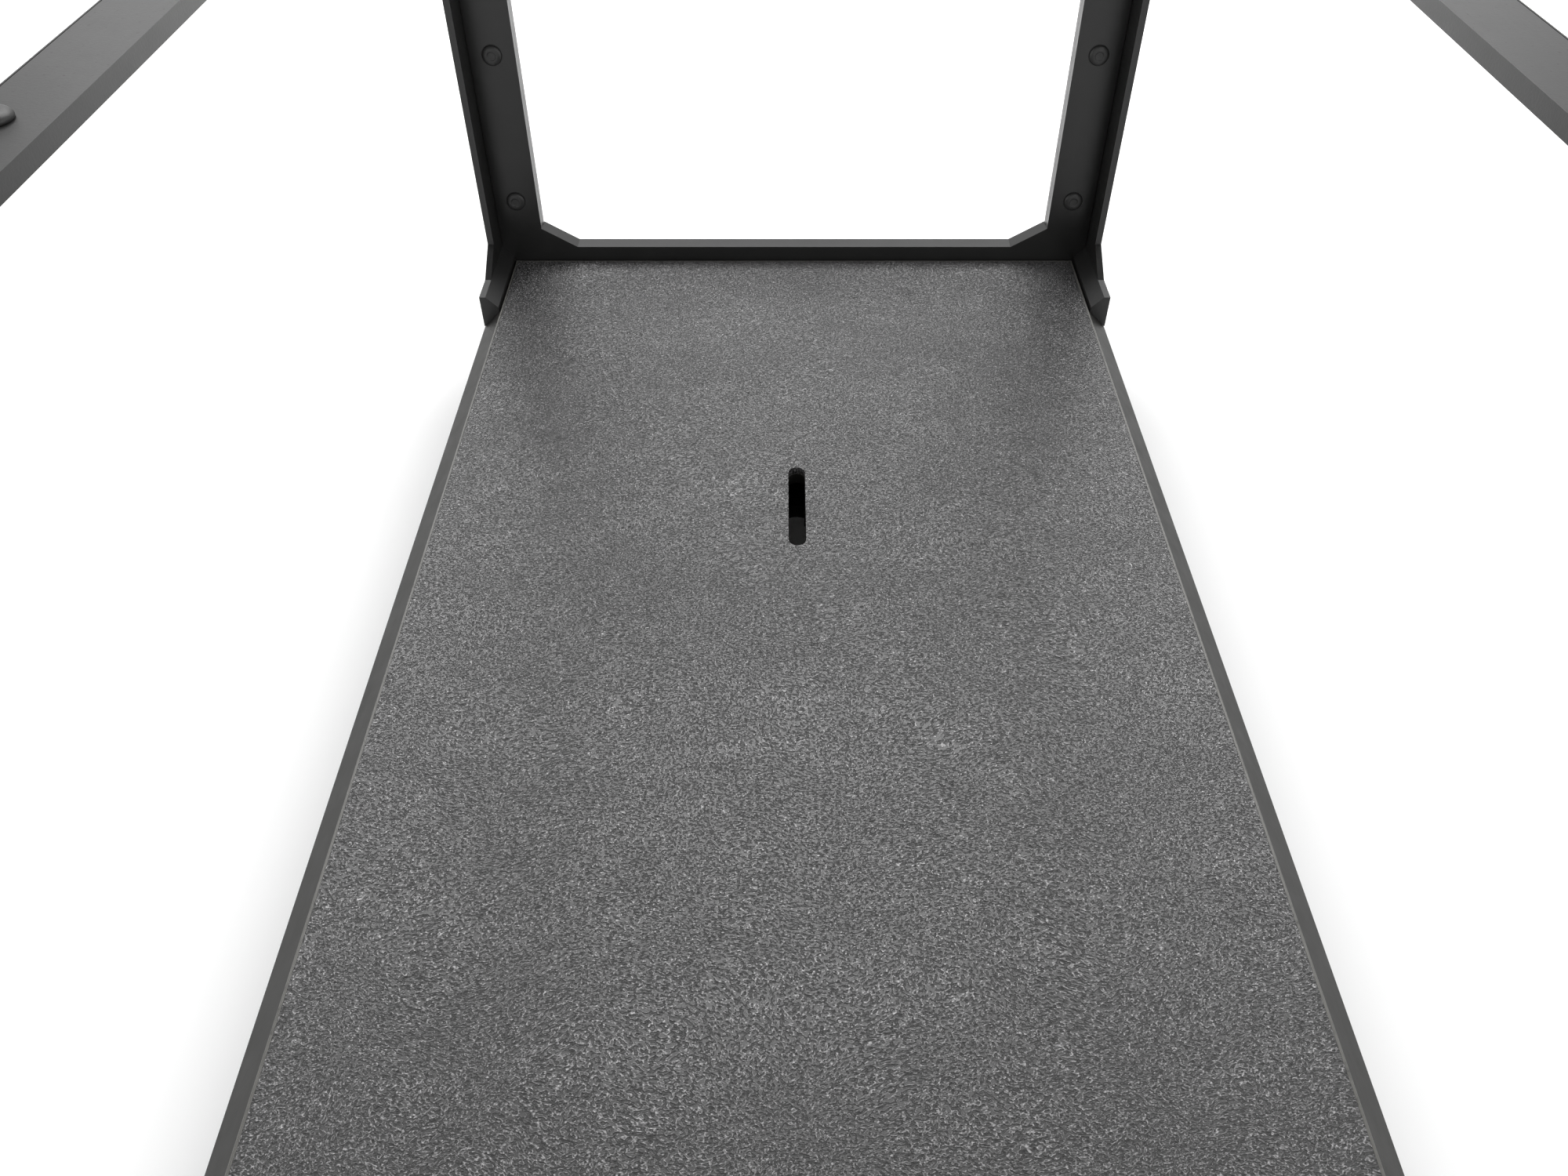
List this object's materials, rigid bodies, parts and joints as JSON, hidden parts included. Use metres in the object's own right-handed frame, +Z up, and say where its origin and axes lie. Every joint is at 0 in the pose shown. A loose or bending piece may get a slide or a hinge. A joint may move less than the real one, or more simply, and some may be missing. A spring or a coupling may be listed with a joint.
{
  "type": "turntable display stand",
  "caption": "Long bevelled plinth with a leather-grained deck, turning on a round ball-bearing foot under an open lift-off canopy frame.",
  "frame": {"origin": "on the table, below the middle of the stand, on the pivot's axis", "axes": "+Z up along the pivot, +Y along the stand's length, +X across it"},
  "size_m": [0.1524, 0.3724, 0.1438],
  "materials": {
    "plate_steel": "matt black powder coat",
    "race_steel": "zinc-plated pressed steel",
    "zinc_steel": "zinc plated",
    "ball_steel": "polished bearing steel",
    "cage_plastic": "natural moulded plastic",
    "bush_plastic": "natural moulded plastic",
    "plinth_plastic": "fine matt black moulding",
    "deck_grain": "leather-grained black, glinting on the grain",
    "canopy_plastic": "satin black moulding",
    "rivet_plastic": "satin black, domed",
    "rubber": "matt black"
  },
  "bodies": {
    "foot": {"foot_plate": "plate_steel", "rubber_foot_back_right": "rubber", "rubber_foot_back_left": "rubber", "rubber_foot_front_left": "rubber", "rubber_foot_front_right": "rubber", "lower_race": "race_steel", "lower_race_screws": "zinc_steel", "pivot_bolt": "zinc_steel", "jam_nut": "zinc_steel", "thrust_washer": "zinc_steel", "lock_nut": "zinc_steel"},
    "bearing": {"ball_cage": "cage_plastic", "bearing_balls": "ball_steel"},
    "deck": {"upper_race": "race_steel", "upper_race_screws": "zinc_steel", "pivot_bush": "bush_plastic", "base_plate": "plinth_plastic", "base_plate_screws": "zinc_steel", "plinth_shell": "plinth_plastic", "deck_panel": "deck_grain"},
    "canopy": {"back_frame": "canopy_plastic", "front_frame": "canopy_plastic", "left_side_frame": "canopy_plastic", "right_side_frame": "canopy_plastic", "top_frame": "canopy_plastic", "rivets_back_left": "rivet_plastic", "rivets_back_right": "rivet_plastic", "rivets_front_left": "rivet_plastic", "rivets_front_right": "rivet_plastic", "roof_rivets_left": "rivet_plastic", "roof_rivets_right": "rivet_plastic", "roof_rivets_front": "rivet_plastic", "roof_rivets_back": "rivet_plastic"}
  },
  "joints": [
    {"name": "deck_spin", "type": "hinge", "parent": "foot", "child": "deck", "pos_m": [0, 0, 0.014], "axis": [0, 0, 1], "continuous": true},
    {"name": "bearing_roll", "type": "hinge", "parent": "foot", "child": "bearing", "pos_m": [0, 0, 0.011], "axis": [0, 0, 1], "continuous": true},
    {"name": "canopy_lift", "type": "slide", "parent": "deck", "child": "canopy", "axis": [0, 0, 1], "range_m": [0, 0.115]}
  ],
  "couplings": [
    {"joint": "bearing_roll", "follows": "deck_spin", "ratio": 0.5}
  ]
}
